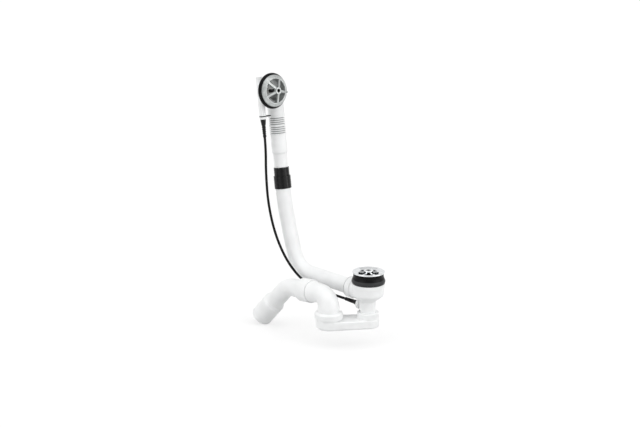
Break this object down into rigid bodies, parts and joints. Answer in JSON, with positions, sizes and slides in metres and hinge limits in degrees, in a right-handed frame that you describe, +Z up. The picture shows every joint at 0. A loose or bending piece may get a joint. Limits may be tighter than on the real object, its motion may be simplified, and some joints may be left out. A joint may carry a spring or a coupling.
{
  "type": "bath waste and overflow",
  "caption": "Bath waste with a strainer drain, flat trap and swivelling outlet, joined by a bent pipe to a round overflow whose turning spindle lifts the plug through a cable.",
  "frame": {"origin": "on the drain axis, on the plane where the bath floor is clamped", "axes": "+Z up along the drain axis, +X the way the overflow faces, into the bath"},
  "size_m": [0.3647, 0.1373, 0.5712],
  "materials": {
    "chrome_metal": "polished chrome plate",
    "cast_metal": "satin die cast",
    "white_plastic": "satin moulded",
    "inner_plastic": "moulded",
    "black_rubber": "moulded rubber",
    "black_plastic": "satin moulded",
    "dark_plastic": "moulded",
    "cable_jacket": "extruded jacket",
    "steel": "drawn"
  },
  "bodies": {
    "fixed": {"drain_flange": "chrome_metal", "overflow_insert": "cast_metal", "drain_body": "white_plastic", "overflow_union_nut": "white_plastic", "overflow_pipe_lower": "white_plastic", "overflow_pipe_upper": "white_plastic", "overflow_housing": "white_plastic", "cable_collar": "white_plastic", "trap_body": "white_plastic", "trap_union_nut": "white_plastic", "lift_guide": "inner_plastic", "flange_gasket": "black_rubber", "drain_seal": "black_rubber", "overflow_joint_seal": "black_rubber", "overflow_gasket": "black_rubber", "inlet_seal": "black_rubber", "riser_seal": "black_rubber", "pipe_coupling": "black_plastic", "cable_ferrule_upper": "black_plastic", "cable_ferrule_lower": "black_plastic", "cable_clip": "dark_plastic", "cable_sheath": "cable_jacket"},
    "drive": {"drive_spindle": "black_plastic", "cable_crank": "black_plastic", "crank_screw": "steel"},
    "head_wire": {"wire_upper": "steel"},
    "ramp": {"lift_slide": "inner_plastic", "wire_lower": "steel"},
    "pin": {"lift_pin": "black_plastic"},
    "riser": {"riser_elbow": "white_plastic", "outlet_union_nut": "white_plastic", "outlet_seal": "black_rubber"},
    "outlet": {"outlet_bend": "white_plastic"}
  },
  "joints": [
    {"name": "drive_turn", "type": "hinge", "parent": "fixed", "child": "drive", "pos_m": [-0.27985, -0.026, 0.3706], "axis": [-0.9914, 0, -0.1305], "range_deg": [0, 35.05]},
    {"name": "head_wire_slide", "type": "slide", "parent": "fixed", "child": "head_wire", "axis": [-0.1305, 0, 0.9914], "range_m": [0, 0.012]},
    {"name": "ramp_slide", "type": "slide", "parent": "fixed", "child": "ramp", "axis": [-1, 0, 0], "range_m": [0, 0.012]},
    {"name": "pin_lift", "type": "slide", "parent": "fixed", "child": "pin", "axis": [0, 0, 1], "range_m": [0, 0.008]},
    {"name": "riser_swivel", "type": "hinge", "parent": "fixed", "child": "riser", "pos_m": [-0.05, -0.07, -0.082], "axis": [0, 0, 1], "range_deg": [0, 120]},
    {"name": "outlet_swivel", "type": "hinge", "parent": "riser", "child": "outlet", "pos_m": [-0.05, -0.07, -0.0405], "axis": [-0.9954, 0, -0.0958], "range_deg": [-40, 75]}
  ],
  "couplings": [
    {"joint": "head_wire_slide", "follows": "drive_turn", "m_per_rad": 0.019616},
    {"joint": "ramp_slide", "follows": "drive_turn", "m_per_rad": 0.019616},
    {"joint": "pin_lift", "follows": "drive_turn", "m_per_rad": 0.013077}
  ]
}
